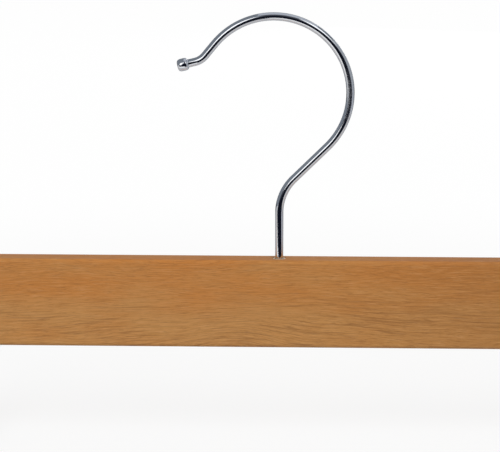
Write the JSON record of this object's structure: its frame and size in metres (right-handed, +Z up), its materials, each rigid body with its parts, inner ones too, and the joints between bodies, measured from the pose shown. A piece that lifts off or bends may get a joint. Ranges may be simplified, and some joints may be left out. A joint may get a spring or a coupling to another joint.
{
  "type": "clip hanger",
  "caption": "Wooden clothes hanger with a straight bar, a swivelling wire hook and sprung clips that slide on a rail under the bar to hold trousers or skirts by the waistband.",
  "frame": {"origin": "the point inside the hook's arch, on the swivel axis, that sits on a wardrobe rail", "axes": "+X along the bar towards the end that the hook's tip points away from, +Y to the back, +Z up along the swivel axis"},
  "size_m": [0.355, 0.0252, 0.1868],
  "materials": {
    "wood": "clear satin lacquer over straight-grained wood",
    "hook_chrome": "bright polished plating",
    "clip_plate": "bright plated sheet",
    "steel": "drawn wire, lightly polished",
    "nylon": "natural nylon",
    "grip": "matt soft grip"
  },
  "bodies": {
    "hook": {"hook": "hook_chrome", "swivel_washer": "steel", "swivel_nut": "steel"},
    "bar": {"wood_bar": "wood", "swivel_bush": "nylon", "clip_rail": "steel"},
    "left_link": {"left_clip_link": "clip_plate"},
    "left_core": {"left_clip_pin": "steel", "left_clip_spring": "steel"},
    "left_front": {"left_front_jaw": "clip_plate", "left_front_grip": "grip"},
    "left_back": {"left_back_jaw": "clip_plate", "left_back_grip": "grip"},
    "right_link": {"right_clip_link": "clip_plate"},
    "right_core": {"right_clip_pin": "steel", "right_clip_spring": "steel"},
    "right_front": {"right_front_jaw": "clip_plate", "right_front_grip": "grip"},
    "right_back": {"right_back_jaw": "clip_plate", "right_back_grip": "grip"}
  },
  "joints": [
    {"name": "hook_swivel", "type": "hinge", "parent": "hook", "child": "bar", "pos_m": [0, 0, -0.1026], "axis": [0, 0, 1], "continuous": true},
    {"name": "left_slide", "type": "slide", "parent": "bar", "child": "left_link", "axis": [1, 0, 0], "range_m": [-0.01, 0.125]},
    {"name": "left_swing", "type": "hinge", "parent": "left_link", "child": "left_core", "pos_m": [-0.146, 0, -0.16174], "axis": [1, 0, 0], "range_deg": [-15, 15]},
    {"name": "left_open", "type": "hinge", "parent": "left_core", "child": "left_front", "pos_m": [-0.146, 0, -0.16174], "axis": [-1, 0, 0], "range_deg": [0, 20], "stiffness_Nm_per_rad": 0.2, "springref_deg": -45.84, "deforming": ["left_clip_spring"]},
    {"name": "left_open_back", "type": "hinge", "parent": "left_core", "child": "left_back", "pos_m": [-0.146, 0, -0.16174], "axis": [1, 0, 0], "range_deg": [0, 20], "stiffness_Nm_per_rad": 0.2, "springref_deg": -45.84},
    {"name": "right_slide", "type": "slide", "parent": "bar", "child": "right_link", "axis": [-1, 0, 0], "range_m": [-0.01, 0.125]},
    {"name": "right_swing", "type": "hinge", "parent": "right_link", "child": "right_core", "pos_m": [0.146, 0, -0.16174], "axis": [1, 0, 0], "range_deg": [-15, 15]},
    {"name": "right_open", "type": "hinge", "parent": "right_core", "child": "right_front", "pos_m": [0.146, 0, -0.16174], "axis": [-1, 0, 0], "range_deg": [0, 20], "stiffness_Nm_per_rad": 0.2, "springref_deg": -45.84, "deforming": ["right_clip_spring"]},
    {"name": "right_open_back", "type": "hinge", "parent": "right_core", "child": "right_back", "pos_m": [0.146, 0, -0.16174], "axis": [1, 0, 0], "range_deg": [0, 20], "stiffness_Nm_per_rad": 0.2, "springref_deg": -45.84}
  ],
  "couplings": [
    {"joint": "left_open_back", "follows": "left_open", "ratio": 1},
    {"joint": "right_open_back", "follows": "right_open", "ratio": 1}
  ]
}
